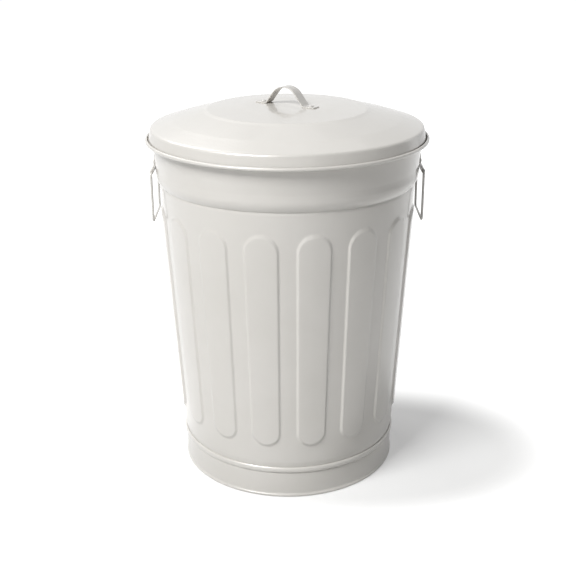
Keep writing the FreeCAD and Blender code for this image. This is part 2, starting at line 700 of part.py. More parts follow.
def make_bracket(side):
    """A plate on the collar whose lower edge is rolled into a barrel for the handle's wire."""
    body = new_body(side + "_handle_bracket")
    sketch = new_sketch(body, body.Name + "_section", "XZ_Plane")
    back, front = "-place.plate_back", "-place.plate_back + size.bracket_sheet"
    outer, bore = "place.barrel_radius", "place.barrel_bore"
    jog = "2 * place.barrel_radius"
    sine, cosine = "sin(20deg)", "cos(20deg)"
    draw(sketch, (
        (back, "size.bracket_plate"),
        (back, jog),
        ("-" + outer, "0"),
        ("0", "-" + outer, outer, 1),
        (outer, "0", outer, 1),
        ("0", outer, outer, 1),
        (f"-{outer} * {sine}", f"{outer} * {cosine}", outer, 1),
        (f"-{bore} * {sine}", f"{bore} * {cosine}"),
        ("0", bore, bore, -1),
        (bore, "0", bore, -1),
        ("0", "-" + bore, bore, -1),
        ("-" + bore, "0", bore, -1),
        (front, jog),
        (front, "size.bracket_plate"),
    ))
    pad(body, sketch, "size.bracket_width", body.Name + "_strip")
    corners = new_sketch(body, body.Name + "_corners", "YZ_Plane")
    for mirror, turn in (("", -1), ("-", 1)):
        edge = f"{mirror}size.bracket_width / 2"
        inner = f"{mirror}(size.bracket_width / 2 - size.bracket_corner)"
        draw(corners, (
            (edge, "size.bracket_plate"),
            (edge, "size.bracket_plate - size.bracket_corner"),
            (inner, "size.bracket_plate", "size.bracket_corner", -turn),
        ))
    for mirror in ("", "-"):
        draw_circle(corners, f"{mirror}size.bracket_rivet_span / 2", "size.bracket_rivet_rise",
                    "place.shank_hole")
    drill(body, corners, "4 * place.plate_back", body.Name + "_drilling")
    body.Placement = bracket_frame(HANDLE_SIDES[side])
    return body


def make_bail(side):
    """A drop handle of round wire whose two ends turn in to meet inside the barrel."""
    body = new_body(side + "_bail")
    path = new_sketch(body, body.Name + "_path", "YZ_Plane")
    end = "size.bail_end_gap / 2"
    leg, drop = "size.bail_half_span", "size.bail_drop"
    pin, grip = "size.bail_pin_round", "size.bail_grip_round"
    draw(path, (
        (end, "0"),
        (f"{leg} - {pin}", "0"),
        (leg, "-" + pin, pin, -1),
        (leg, f"{grip} - {drop}"),
        (f"{leg} - {grip}", "-" + drop, grip, -1),
        (f"{grip} - {leg}", "-" + drop),
        ("-" + leg, f"{grip} - {drop}", grip, -1),
        ("-" + leg, "-" + pin),
        (f"{pin} - {leg}", "0", pin, -1),
        ("-" + end, "0"),
    ), closed=False)
    wire = new_sketch(body, body.Name + "_wire", "XZ_Plane", "-" + end)
    turns = [f"{FULL_TURN * (k + 0.5) / BAIL_FACETS}deg" for k in range(BAIL_FACETS)]
    draw(wire, [(f"place.bail_radius * cos({turn})", f"place.bail_radius * sin({turn})")
                for turn in turns])
    pipe = body.newObject("PartDesign::AdditivePipe", body.Name + "_bent")
    pipe.Profile = wire
    pipe.Spine = (path, [])
    pivot = VECTOR(number("place.pivot_radius"), 0, number("place.pivot_height"))
    spin = FreeCAD.Placement(VECTOR(0, 0, 0), FreeCAD.Rotation(UP, HANDLE_SIDES[side]))
    body.Placement = spin.multiply(FreeCAD.Placement(pivot, FreeCAD.Rotation()))
    return body


# ---------------------------------------------------------------- the whole bin

def make_all():
    nodes = [
        make_body_shell(),
        make_bottom_pan(),
        make_foot_band(),
        make_lid_shell(),
        make_lid_handle(),
        make_lid_rivets(),
        make_bracket_rivets(),
    ]
    for side in HANDLE_SIDES:
        nodes += [make_bracket(side), make_bail(side)]
    doc.recompute()
    return nodes


def check_document(nodes):
    for item in doc.Objects:
        if {"Invalid", "Error"} & set(item.State):
            raise RuntimeError(f"{item.Name} did not build: {item.State}")
    for node in nodes:
        if node.Shape.isNull() or not node.Shape.isValid() or not node.Shape.Solids:
            raise RuntimeError(f"{node.Label} has no valid solid")


def write_parts(nodes):
    os.makedirs("parts", exist_ok=True)
    for node in nodes:
        node.Shape.exportStep(f"parts/{node.Label}.step")


parts = make_all()
check_document(parts)
write_parts(parts)
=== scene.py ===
import math

import bmesh
import bpy
import numpy as np
from mathutils import Matrix, Vector


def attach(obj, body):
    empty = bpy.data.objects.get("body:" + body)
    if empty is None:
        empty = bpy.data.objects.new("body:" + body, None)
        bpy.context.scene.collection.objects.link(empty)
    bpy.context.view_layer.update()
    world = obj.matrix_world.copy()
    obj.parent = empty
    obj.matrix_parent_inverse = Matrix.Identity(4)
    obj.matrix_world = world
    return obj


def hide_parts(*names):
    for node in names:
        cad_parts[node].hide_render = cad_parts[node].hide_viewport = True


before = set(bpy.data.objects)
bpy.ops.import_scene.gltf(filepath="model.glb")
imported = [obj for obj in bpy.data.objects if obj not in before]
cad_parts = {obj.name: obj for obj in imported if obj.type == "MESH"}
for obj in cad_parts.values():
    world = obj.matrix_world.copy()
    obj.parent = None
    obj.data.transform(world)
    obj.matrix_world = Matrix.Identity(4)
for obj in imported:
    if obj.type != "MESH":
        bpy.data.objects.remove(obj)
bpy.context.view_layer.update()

# Metres throughout. The drop handles hang at +X and -X, and the camera looks along +Y.
# Sizes are those of the CAD model, except where a comment says otherwise.

MM = 0.001
SHEET = 0.7 * MM
FULL_TURN = 2 * math.pi


# ---------------------------------------------------------------- outlines

def fillet(before, corner, after, radius, step):
    """Points of the arc that rounds the corner between two straight runs."""
    into = np.subtract(corner, before)
    out = np.subtract(after, corner)
    room = 0.49 * min(np.linalg.norm(into), np.linalg.norm(out))
    into, out = into / np.linalg.norm(into), out / np.linalg.norm(out)
    turn = math.atan2(into[0] * out[1] - into[1] * out[0], into @ out)
    if abs(turn) < 1e-4 or radius <= 0:
        return [tuple(corner)]
    reach = min(radius * math.tan(abs(turn) / 2), room)
    radius = reach / math.tan(abs(turn) / 2)
    start = np.subtract(corner, into * reach)
    side = np.array([-into[1], into[0]]) * math.copysign(1, turn)
    centre = start + side * radius
    count = max(3, int(abs(turn) * radius / step) + 1)
    angles = np.linspace(0, turn, count)
    spoke = start - centre
    return [tuple(centre + (spoke[0] * math.cos(a) - spoke[1] * math.sin(a),
                            spoke[0] * math.sin(a) + spoke[1] * math.cos(a))) for a in angles]


def arc(centre, radius, first, last, step=0.4 * MM):
    """Points of an arc between two angles in degrees."""
    count = max(4, int(abs(math.radians(last - first)) * radius / step) + 1)
    return [(centre[0] + radius * math.cos(a), centre[1] + radius * math.sin(a))
            for a in np.radians(np.linspace(first, last, count))]


def rounded(corners, step=1.2 * MM):
    """A line through corners given as (radius from the axis, height, rounding)."""
    line = [tuple(corners[0][:2])]
    for before, corner, after in zip(corners, corners[1:], corners[2:]):
        line += fillet(before[:2], corner[:2], after[:2], corner[2], step)
    line.append(tuple(corners[-1][:2]))
    return line


def spread(line, longest):
    """The same line with its long runs divided."""
    points = [line[0]]
    for start, stop in zip(line, line[1:]):
        run = math.dist(start, stop)
        if run < 1e-7:
            continue
        parts = max(1, math.ceil(run / longest))
        points += [tuple(np.add(start, np.subtract(stop, start) * (k + 1) / parts))
                   for k in range(parts)]
    return points


def normals(line):
    """Unit normals of an open line, to the right of its direction."""
    line = np.array(line)
    along = np.gradient(line, axis=0)
    along /= np.linalg.norm(along, axis=1)[:, None]
    return np.stack([along[:, 1], -along[:, 0]], axis=1)


def sheet_loop(line, thickness=SHEET):
    """A closed outline around a middle line: one face, then back along the other."""
    side = normals(line) * thickness / 2
    line = np.array(line)
    return [tuple(p) for p in line + side] + [tuple(p) for p in (line - side)[::-1]]


# ---------------------------------------------------------------- meshes

def finish_mesh(name, mesh_builder, body, replaced, material):
    """Build a visible piece, which rides on a body and takes the place of CAD nodes."""
    mesh = bpy.data.meshes.new(name)
    bm = bmesh.new()
    mesh_builder(bm)
    bmesh.ops.recalc_face_normals(bm, faces=bm.faces)
    for face in bm.faces:
        face.smooth = True
    bm.to_mesh(mesh)
    bm.free()
    piece = bpy.data.objects.new(name, mesh)
    bpy.context.scene.collection.objects.link(piece)
    piece.data.materials.append(material)
    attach(piece, body)
    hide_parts(*replaced)


def even_angles(count):
    """Angles that divide a full turn evenly, from 0."""
    return [FULL_TURN * k / count for k in range(count)]


def turn_outline(bm, loop, angles, shift=None):
    """Sweep a closed outline about the axis. shift(angle, index) moves its points
    by a radius and a height."""
    rings = []
    for angle in angles:
        ring = []
        for index, (radius, height) in enumerate(loop):
            dr, dz = shift(angle, index) if shift else (0.0, 0.0)
            r = radius + dr
            ring.append(bm.verts.new((r * math.cos(angle), r * math.sin(angle), height + dz)))
        rings.append(ring)
    count = len(loop)
    for k in range(len(rings)):
        here, there = rings[k], rings[(k + 1) % len(rings)]
        for i in range(count):
            j = (i + 1) % count
            bm.faces.new((here[i], here[j], there[j], there[i]))
    return rings


def smooth_step(value):
    """A soft step from 0 to 1 over values from 0 to 1."""
    value = np.clip(value, 0.0, 1.0)
    return value * value * (3 - 2 * value)


# ---------------------------------------------------------------- the wall

FLUTES = 16
FLUTE_ANGLE = math.radians(15.0)
FLUTE_DEPTH = 2.8 * MM
# Narrower than in the CAD model, as the photo shows crisp edges.
FLUTE_SLOPE = 3.7 * MM
FLUTE_LOW_GAP = 42 * MM
FLUTE_HIGH_GAP = 37 * MM
RINGS_PER_FLUTE = 60

CAN_HEIGHT = 615.0 * MM
FOOT_RADIUS = 192.0 * MM
FOOT_TOP = 48.5 * MM
SEAM_TOP = FOOT_TOP + 11.0 * MM
WALL_LOW = 192.9 * MM
WALL_HIGH = 219.9 * MM
SHOULDER = 9.0 * MM
WALL_IN_SEAM = 10.0 * MM

SWAGE_LOW = CAN_HEIGHT - 93.0 * MM
SWAGE_HEIGHT = 24.5 * MM
SWAGE_TOP = SWAGE_LOW + SWAGE_HEIGHT
SWAGE_ROUND = 28 * MM
SWAGE_FOOT = WALL_HIGH - 0.9 * MM
# The wall draws in a little more, and over less height, than in the CAD model.
ROOT = SWAGE_FOOT - 0.3 * MM
SWAGE_RUN = 3.8 * MM
# Degrees of the swage's round that its blend into the collar takes up.
SWAGE_BLEND = 6

COLLAR_LOW = WALL_HIGH + 5.1 * MM
COLLAR_HIGH = COLLAR_LOW + 3.6 * MM
NECK_LOW = CAN_HEIGHT - 25 * MM
NECK_TOP = NECK_LOW + 16 * MM
NECK = COLLAR_HIGH - 3.2 * MM
RIM_CURL = 2.7 * MM
RIM_BEAD = (NECK + RIM_CURL - SHEET, CAN_HEIGHT - RIM_CURL)
RIM_CURL_END = -118

TAPER = (WALL_HIGH - WALL_LOW) / (SWAGE_LOW - SEAM_TOP)
LOCK_SEAM_WIDTH = 8.0 * MM
LOCK_SEAM_PROUD = 1.3 * MM
LOCK_SEAM_EDGE = 0.8 * MM
LOCK_SEAM_ENDS = (SEAM_TOP + 8.0 * MM, NECK_LOW)
LOCK_SEAM_RINGS = 26
BACK = FULL_TURN / 4


def swage_centre():
    """Centre of the swage's round, as (radius from the axis, height)."""
    out = COLLAR_LOW - SWAGE_FOOT
    chord = math.hypot(out, SWAGE_HEIGHT)
    inwards = math.sqrt(SWAGE_ROUND ** 2 - chord ** 2 / 4)
    return ((SWAGE_FOOT + COLLAR_LOW) / 2 - inwards * SWAGE_HEIGHT / chord,
            (SWAGE_LOW + SWAGE_TOP) / 2 + inwards * out / chord)


SWAGE_CENTRE = swage_centre()


def wall_line():
    """Middle line of the wall's sheet from the bottom seam up, round the rim's curl."""
    half = SHEET / 2

    def on_taper(height):
        return WALL_LOW + TAPER * (height - SEAM_TOP) - half

    corners = [
        (FOOT_RADIUS - half, SEAM_TOP - WALL_IN_SEAM, 0),
        (FOOT_RADIUS - half, SEAM_TOP, 6 * MM),
        (on_taper(SEAM_TOP + SHOULDER), SEAM_TOP + SHOULDER, 14 * MM),
        (on_taper(SWAGE_LOW - SWAGE_RUN), SWAGE_LOW - SWAGE_RUN, 3 * MM),
        (ROOT - half, SWAGE_LOW, 0.8 * MM),
    ]
    middle = SWAGE_ROUND - half
    first = math.degrees(math.atan2(SWAGE_LOW - SWAGE_CENTRE[1], ROOT - SWAGE_CENTRE[0]))
    last = math.degrees(math.atan2(SWAGE_TOP - SWAGE_CENTRE[1], COLLAR_LOW - SWAGE_CENTRE[0]))
    swage = arc(SWAGE_CENTRE, middle, first, last - SWAGE_BLEND, 1.0 * MM)
    top = [
        (*swage[-1], 0),
        (COLLAR_LOW + 0.3 * MM - half, SWAGE_TOP + 4 * MM, 30 * MM),
        (COLLAR_HIGH - half, NECK_LOW, 12 * MM),
        (NECK - half, NECK_TOP, 10 * MM),
        (NECK - half, RIM_BEAD[1], 0),
    ]
    corners.append((*swage[1], 0))
    curl = arc(RIM_BEAD, RIM_CURL - half, 180, RIM_CURL_END)
    return rounded(corners) + swage[2:-1] + rounded(top) + curl[1:]


def flute_rise(angle, height):
    """How far a flute stands out at a place on the wall, between 0 and 1."""
    pitch = FULL_TURN / FLUTES
    offset = angle % pitch - pitch / 2
    radius = WALL_LOW + TAPER * (height - SEAM_TOP)
    half_low = WALL_LOW * math.tan(FLUTE_ANGLE / 2)
    half_high = WALL_HIGH * math.tan(FLUTE_ANGLE / 2)
    low = SEAM_TOP + FLUTE_LOW_GAP + half_low
    high = SWAGE_LOW - FLUTE_HIGH_GAP - half_high
    share = min(max((height - low) / (high - low), 0), 1)
    half = half_low + (half_high - half_low) * share
    across = abs(radius * math.sin(offset))
    beyond = max(low - height, height - high, 0)
    return float(smooth_step((half - math.hypot(across, beyond)) / FLUTE_SLOPE))


def seam_rise(angle, height):
    """How far the folded seam up the back stands out at a place, between 0 and 1."""
    across = abs((angle - BACK) * WALL_LOW)
    edge = min(LOCK_SEAM_WIDTH / 2 - across,
               height - LOCK_SEAM_ENDS[0], LOCK_SEAM_ENDS[1] - height)
    return float(smooth_step(edge / LOCK_SEAM_EDGE + 0.5))


def build_wall(bm):
    line = spread(wall_line(), 3.0 * MM)
    loop = sheet_loop(line)
    side = normals(line)
    outside = len(line)
    side = list(side) + list(side[::-1])
    heights = [p[1] for p in line] + [p[1] for p in line[::-1]]
    low, high = SEAM_TOP + FLUTE_LOW_GAP - MM, SWAGE_LOW - FLUTE_HIGH_GAP + MM

    def shift(angle, index):
        height = heights[index]
        rise = 0.0
        if low < height < high:
            rise = FLUTE_DEPTH * flute_rise(angle, height)
        if index < outside:
            rise += LOCK_SEAM_PROUD * seam_rise(angle, height)
        return rise * side[index][0], rise * side[index][1]

    # Rings stand closer together at the folded seam, whose edges are steep.
    reach = (LOCK_SEAM_WIDTH / 2 + MM) / WALL_LOW
    seam = list(np.linspace(BACK - reach, BACK + reach, LOCK_SEAM_RINGS))
    even = even_angles(FLUTES * RINGS_PER_FLUTE)
    angles = sorted([a for a in even if abs(a - BACK) > reach * 1.05] + seam)
    turn_outline(bm, loop, angles, shift)


# ---------------------------------------------------------------- the lid

LID_GAP = 0.3 * MM
LID_SKIRT = 21.5 * MM
LID_SKIRT_ANGLE = math.radians(12.6)
LID_CURL = 3.0 * MM
LID_CURL_END = 360 + 108
LID_SEGMENTS = 360

OUTER_RING, INNER_RING, RING = 196 * MM, 138.5 * MM, 7.0 * MM
OUTER_RISE, MIDDLE_RISE, CROWN_RISE = 10.8 * MM, 13.2 * MM, 4.6 * MM
OUTER_STEP, INNER_STEP = 1.2 * MM, 2.4 * MM
OUTER_RING_DROP = 1.1 * MM
PAD_RADIUS = 72 * MM


def lid_corner():
    """Outer corner of the lid, which rests on the rim's curl, as (radius, height)."""
    radius = RIM_BEAD[0] + RIM_CURL + LID_GAP + SHEET
    slope = OUTER_RISE / (radius - OUTER_RING)
    seat = (RIM_CURL + LID_GAP + SHEET) * math.hypot(1, slope)
    return radius, RIM_BEAD[1] + seat - slope * (radius - RIM_BEAD[0])


def lid_bead():
    """Centre of the curl at the skirt's lower edge, as (radius, height)."""
    sine, cosine = math.sin(LID_SKIRT_ANGLE), math.cos(LID_SKIRT_ANGLE)
    out = LID_CURL - SHEET
    return (LID_CORNER[0] + LID_SKIRT * sine + out * cosine,
            LID_CORNER[1] - LID_SKIRT * cosine + out * sine)


LID_CORNER = lid_corner()
LID_BEAD = lid_bead()
LID_SLOPE = OUTER_RISE / (LID_CORNER[0] - OUTER_RING)
OUTER_LOW = LID_CORNER[1] + OUTER_RISE
OUTER_HIGH = OUTER_LOW + OUTER_STEP
INNER_LOW = OUTER_HIGH + MIDDLE_RISE
INNER_HIGH = INNER_LOW + INNER_STEP
PAD_TOP = INNER_HIGH + CROWN_RISE


def lid_line():
    """Middle line of the lid's sheet from its middle outwards, round the edge's curl."""
    half = SHEET / 2
    inward = Vector((-math.cos(LID_SKIRT_ANGLE), -math.sin(LID_SKIRT_ANGLE)))
    bottom = Vector(LID_BEAD) + inward * (LID_CURL - half)
    corner = Vector(LID_CORNER) + inward * half
    top_half = half * math.hypot(1, LID_SLOPE)
    corners = [
        (0.0, PAD_TOP - half, 0),
        (PAD_RADIUS, PAD_TOP - half, 260 * MM),
        (INNER_RING - RING / 2, INNER_HIGH - half, 7 * MM),
        (INNER_RING + RING / 2, INNER_LOW - half, 7 * MM),
        (OUTER_RING - RING / 2, OUTER_HIGH - half, 9 * MM),
        (OUTER_RING + RING / 2, OUTER_LOW - OUTER_RING_DROP - half, 9 * MM),
        (corner.x, LID_CORNER[1] - top_half, 4.65 * MM),
        (bottom.x, bottom.y, 0),
    ]
    start = 180 + math.degrees(LID_SKIRT_ANGLE)
    return rounded(corners) + arc(LID_BEAD, LID_CURL - half, start, LID_CURL_END)[1:]


def build_lid(bm):
    line = spread(lid_line(), 4.0 * MM)
    top = sheet_loop(line[1:])
    rings = turn_outline(bm, top, even_angles(LID_SEGMENTS))
    # Close the pad's small middle opening above and below.
    count = len(top)
    gap = [(ring[0], ring[count - 1]) for ring in rings]
    for k in range(len(gap)):
        here, there = gap[k], gap[(k + 1) % len(gap)]
        face = bm.faces.get((here[0], here[1], there[1], there[0]))
        if face:
            bm.faces.remove(face)
    bm.faces.new([pair[0] for pair in gap])
    bm.faces.new([pair[1] for pair in gap])


# ---------------------------------------------------------------- foot and bottom

FOOT_SEGMENTS = 300
PAN_DISH, PAN_DISH_RADIUS, PAN_DISH_SLOPE = 3 * MM, 150 * MM, 12 * MM
HEM = FOOT_RADIUS + 2.7 * MM
HEM_TURN = 3.2 * MM
FOOT_CURL = 3.2 * MM
FOOT_BEAD = (FOOT_RADIUS + 1.1 * MM - FOOT_CURL, FOOT_CURL - 0.2 * MM)
FOOT_CURL_END = -250


def build_pan(bm):
    half = SHEET / 2
    low = FOOT_TOP + half
    corners = [
        (0.0, low + PAN_DISH, 0),
        (PAN_DISH_RADIUS, low + PAN_DISH, 12 * MM),
        (PAN_DISH_RADIUS + PAN_DISH_SLOPE, low, 12 * MM),
        (FOOT_RADIUS + 1.0 * MM, low, 3.5 * MM),
        (HEM - half, FOOT_TOP + HEM_TURN, 4 * MM),
        (HEM - half, SEAM_TOP - HEM_TURN, 4 * MM),
        (FOOT_RADIUS + half, SEAM_TOP - half, 0),
    ]
    loop = sheet_loop(spread(rounded(corners, 0.6 * MM), 6 * MM)[1:])
    rings = turn_outline(bm, loop, even_angles(FOOT_SEGMENTS))
    for index in (0, len(loop) - 1):
        bm.faces.new([ring[index] for ring in rings])


def build_band(bm):
    half = SHEET / 2
    meet = math.degrees(math.acos((FOOT_RADIUS - FOOT_BEAD[0] - half) / (FOOT_CURL - half)))
    line = [(FOOT_RADIUS - half, FOOT_TOP)]
    line += arc(FOOT_BEAD, FOOT_CURL - half, meet, FOOT_CURL_END)
    loop = sheet_loop(spread(line, 4 * MM))
    # The curl is worn flat where it stands on the floor.
    loop = [(r, max(z, 0.0)) for r, z in loop]
    turn_outline(bm, loop, even_angles(FOOT_SEGMENTS))


# ---------------------------------------------------------------- lid handle, brackets and wires

STRAP_SHEET = 1.8 * MM
STRAP_WIDTH = 20.0 * MM
STRAP_EDGE_ROUND = 0.45 * MM
STRAP_CORNER = 3.0 * MM
STRAP_RISE = 31.5 * MM
STRAP_FOOT_ROUND = 5.0 * MM
STRAP_TURN = math.radians(-34.0)
STRAP_RIVET = 48.0825 * MM
STRAP_END = STRAP_RIVET + 11.0 * MM
# The legs spread a little more than in the CAD model, as the photo shows.
STRAP_CROWN = 29.5 * MM
STRAP_BEND = 40.0 * MM

BAIL_RADIUS = 2.1 * MM
BAIL_SIDES = 20
BAIL_DROP = 84.0 * MM
BAIL_END = 2.0 * MM
# The wires and their brackets are wider than in the CAD model, as the photo shows.
BAIL_HALF_SPAN = 45.0 * MM
BAIL_GRIP_ROUND = 7.0 * MM
BAIL_PIN_ROUND = 5.0 * MM

BRACKET_SHEET = 1.2 * MM
BRACKET_WIDTH = 76.0 * MM
BRACKET_EDGE_ROUND = 0.3 * MM
BRACKET_TOP = 25.0 * MM
BRACKET_CORNER = 5.0 * MM
BRACKET_CLEAR = 0.6 * MM
# Height over which the plate passes from the straight barrel into the collar's round.
PLATE_BEND = 9.0 * MM
BARREL = BAIL_RADIUS + 0.1 * MM + BRACKET_SHEET
BARREL_START, BARREL_END = 182, 180 + 288

PIVOT = (SWAGE_CENTRE[0] + SWAGE_ROUND + BRACKET_CLEAR + BARREL, CAN_HEIGHT - 74.0 * MM)
COLLAR_SLOPE = (COLLAR_HIGH - COLLAR_LOW) / (NECK_LOW - SWAGE_TOP)
COLLAR_TILT = math.atan(COLLAR_SLOPE)
COLLAR_AT_PIVOT = COLLAR_LOW - COLLAR_SLOPE * (SWAGE_TOP - PIVOT[1])
PLATE_BACK = (PIVOT[0] - COLLAR_AT_PIVOT) * math.cos(COLLAR_TILT)

BRACKET_RIVET_RISE = 15.0 * MM
BRACKET_RIVET_HALF_SPAN = 28.0 * MM
# Radii and heights of every rivet.
RIVET_HEAD = 4.5 * MM
RIVET_HEAD_HEIGHT = 2.2 * MM
RIVET_HEAD_EDGE = 0.25 * MM
RIVET_HEAD_UNDER = 0.985 * RIVET_HEAD
RIVET_TAIL = 0.98 * RIVET_HEAD
RIVET_TAIL_HEIGHT = 1.2 * MM
RIVET_SHANK = 2.2 * MM
RIVET_GAP = 0.05 * MM
RIVET_SIDES = 32


def strip_mesh(bm, line, thickness, edge_round, outline, across=8):
    """A strip bent along a line in the XZ plane, its edges along Y softly rounded.
    outline(run, length) gives half the strip's width at a distance along the line."""
    side = normals(line)
    runs = [0.0]
    for start, stop in zip(line, line[1:]):
        runs.append(runs[-1] + math.dist(start, stop))
    half = thickness / 2
    rows = []
    for place, normal, run in zip(line, side, runs):
        reach = outline(run, runs[-1])
        soft = min(edge_round, half)
        flat = reach - soft
        section = [(-reach + soft * (1 - math.cos(a)), (half - soft) + soft * math.sin(a))
                   for a in np.linspace(0, math.pi / 2, 4)]
        middle = [(flat * (2 * k / across - 1), half) for k in range(1, across)]
        section = section + middle + [(-y, n) for y, n in section[::-1]]
        section += [(-y, -n) for y, n in section]
        rows.append([bm.verts.new((place[0] + normal[0] * n, y, place[1] + normal[1] * n))
                     for y, n in section])
    for here, there in zip(rows, rows[1:]):
        count = len(here)
        for i in range(count):
            bm.faces.new((here[i], here[(i + 1) % count], there[(i + 1) % count], there[i]))
    bm.faces.new(rows[0])
    bm.faces.new(rows[-1][::-1])


def strap_line():
    """Middle line of the lid handle from one foot over the arch to the other."""
    half = STRAP_SHEET / 2
    base = PAD_TOP + half
    centre = PAD_TOP + STRAP_RISE - STRAP_CROWN
    crown, foot = STRAP_CROWN - half, STRAP_FOOT_ROUND + half
    # The legs run straight between the crown's round and the feet's rounds.
    rise = base + foot - centre
    apart = math.hypot(STRAP_BEND, rise)
    swing = math.degrees(math.atan2(rise, STRAP_BEND) + math.acos((crown + foot) / apart))
    line = [(-STRAP_END, base)]
    line += arc((-STRAP_BEND, base + foot), foot, -90, -swing, 0.8 * MM)
    line += arc((0.0, centre), crown, 180 - swing, swing, 1.0 * MM)
    line += arc((STRAP_BEND, base + foot), foot, 180 + swing, 270, 0.8 * MM)
    line += [(STRAP_END, base)]
    return spread(line, 2.0 * MM)


def cut_corner(half_width, corner, run):
    """Half the width of a strip near an end whose corners are rounded."""
    beyond = corner - run
    if beyond <= 0:
        return half_width
    return half_width - corner + math.sqrt(max(corner ** 2 - beyond ** 2, 0))


def build_strap(bm):
    def outline(run, length):
        return cut_corner(STRAP_WIDTH / 2, STRAP_CORNER, min(run, length - run))

    line = strap_line()
    base = line[0][1]
    foot = [(-STRAP_END + STRAP_CORNER * (1 - math.cos(a)), base)
            for a in np.linspace(0, math.pi / 2, 7)]
    between = [p for p in line if abs(p[0]) < STRAP_END - STRAP_CORNER - 1e-6]
    line = foot + between + [(-x, z) for x, z in foot[::-1]]
    strip_mesh(bm, line, STRAP_SHEET, STRAP_EDGE_ROUND, outline)
    bmesh.ops.transform(bm, matrix=Matrix.Rotation(STRAP_TURN, 4, "Z"), verts=bm.verts)


def side_frame(side):
    """The frame of a side handle: at its pivot; side is 1 at the right, -1 at the left."""
    turn = Matrix.Rotation(0.0 if side > 0 else math.pi, 4, "Z")
    return turn @ Matrix.Translation((PIVOT[0], 0.0, PIVOT[1]))


def bracket_frame(side):
    """The side handle's frame, leant with the collar."""
    return side_frame(side) @ Matrix.Rotation(COLLAR_TILT, 4, "Y")


def bracket_line():
    """Middle line of a bracket's sheet from the plate's top down round the barrel."""
    half = BRACKET_SHEET / 2
    middle = BARREL - half
    plate = -PLATE_BACK + half
    corners = [(plate, BRACKET_TOP, 0), (plate, 2 * BARREL, 6 * MM), (-middle, 0.8 * MM, 0)]
    barrel = arc((0.0, 0.0), middle, BARREL_START, BARREL_END)
    return rounded(corners, 0.6 * MM) + barrel


def build_bracket(side):
    def outline(run, length):
        return cut_corner(BRACKET_WIDTH / 2, BRACKET_CORNER, run)

    def builder(bm):
        line = bracket_line()
        corner = [(line[0][0], BRACKET_TOP - BRACKET_CORNER * (1 - math.cos(a)))
                  for a in np.linspace(0, math.pi / 2, 9)]
        rest = [p for p in line if p[1] < BRACKET_TOP - BRACKET_CORNER - 1e-6]
        strip_mesh(bm, spread(corner + rest, 1.5 * MM), BRACKET_SHEET, BRACKET_EDGE_ROUND,
                   outline, across=24)
        # The plate follows the round collar, and the barrel below it stays straight.
        for vert in bm.verts:
            share = float(smooth_step((vert.co.z - BARREL) / PLATE_BEND))
            vert.co.x -= share * vert.co.y ** 2 / (2 * COLLAR_LOW)
        bmesh.ops.transform(bm, matrix=bracket_frame(side), verts=bm.verts)
    return builder


def rivet_outline(head_face, tail_face):
    """Half a rivet's section as (radius, place along its axis), domed head upwards."""
    edge, dome_height = RIVET_HEAD_EDGE, RIVET_HEAD_HEIGHT - RIVET_HEAD_EDGE
    dome = [(RIVET_HEAD * math.cos(a), head_face + edge + dome_height * math.sin(a))
            for a in np.linspace(0, math.pi / 2, 12)]
    tail = [(RIVET_TAIL * math.cos(a), tail_face - RIVET_TAIL_HEIGHT * math.sin(a))
            for a in np.linspace(math.pi / 2, 0, 8)]
    shank = [(RIVET_SHANK, tail_face), (RIVET_SHANK, head_face), (RIVET_HEAD_UNDER, head_face)]
    return [(0.0, p[1]) if p[0] < 1e-9 else p for p in tail + shank + dome]


def add_rivet(bm, matrix, head_face, tail_face):
    """A rivet about the Z axis of a matrix, from the tail's face to the head's."""
    outline = rivet_outline(head_face, tail_face)
    low = bm.verts.new(matrix @ Vector((0, 0, outline[0][1])))
    high = bm.verts.new(matrix @ Vector((0, 0, outline[-1][1])))
    rings = [[bm.verts.new(matrix @ Vector((r * math.cos(a), r * math.sin(a), z)))
              for r, z in outline[1:-1]] for a in even_angles(RIVET_SIDES)]
    for k in range(RIVET_SIDES):
        here, there = rings[k], rings[(k + 1) % RIVET_SIDES]
        bm.faces.new((low, there[0], here[0]))
        bm.faces.new((high, here[-1], there[-1]))
        for i in range(len(here) - 1):
            bm.faces.new((here[i], there[i], there[i + 1], here[i + 1]))


def build_lid_rivets(bm):
    for direction in (-1, 1):
        place = Matrix.Rotation(STRAP_TURN, 4, "Z") @ Matrix.Translation(
            (direction * STRAP_RIVET, 0, PAD_TOP))
        add_rivet(bm, place, STRAP_SHEET + RIVET_GAP, -SHEET - RIVET_GAP)


def build_bracket_rivets(bm):
    for side in (1, -1):
        for across in (-BRACKET_RIVET_HALF_SPAN, BRACKET_RIVET_HALF_SPAN):
            # Each rivet stands square to the plate, which is bent round the collar.
            back = (-PLATE_BACK - across ** 2 / (2 * COLLAR_LOW), across, BRACKET_RIVET_RISE)
            square = Matrix.Rotation(math.atan(across / COLLAR_LOW), 4, "Z")
            outward = Matrix.Rotation(math.pi / 2, 4, "Y")
            place = bracket_frame(side) @ Matrix.Translation(back) @ square @ outward
            bend = RIVET_HEAD ** 2 / (2 * (COLLAR_LOW - SHEET))
            add_rivet(bm, place, BRACKET_SHEET + RIVET_GAP, -bend - SHEET - RIVET_GAP)


def bail_line():
    """Middle line of a side handle's wire in the YZ plane, from one end to the other."""
    leg, drop = BAIL_HALF_SPAN, BAIL_DROP
    pin, grip = BAIL_PIN_ROUND, BAIL_GRIP_ROUND
    line = [(BAIL_END, 0.0), (BAIL_END + 0.5 * MM, 0.0)]
    line += arc((leg - pin, -pin), pin, 90, 0, 0.8 * MM)
    line += arc((leg - grip, grip - drop), grip, 0, -90, 1.0 * MM)
    line += [(-y, z) for y, z in line[::-1]]
    return spread(line, 4.0 * MM)


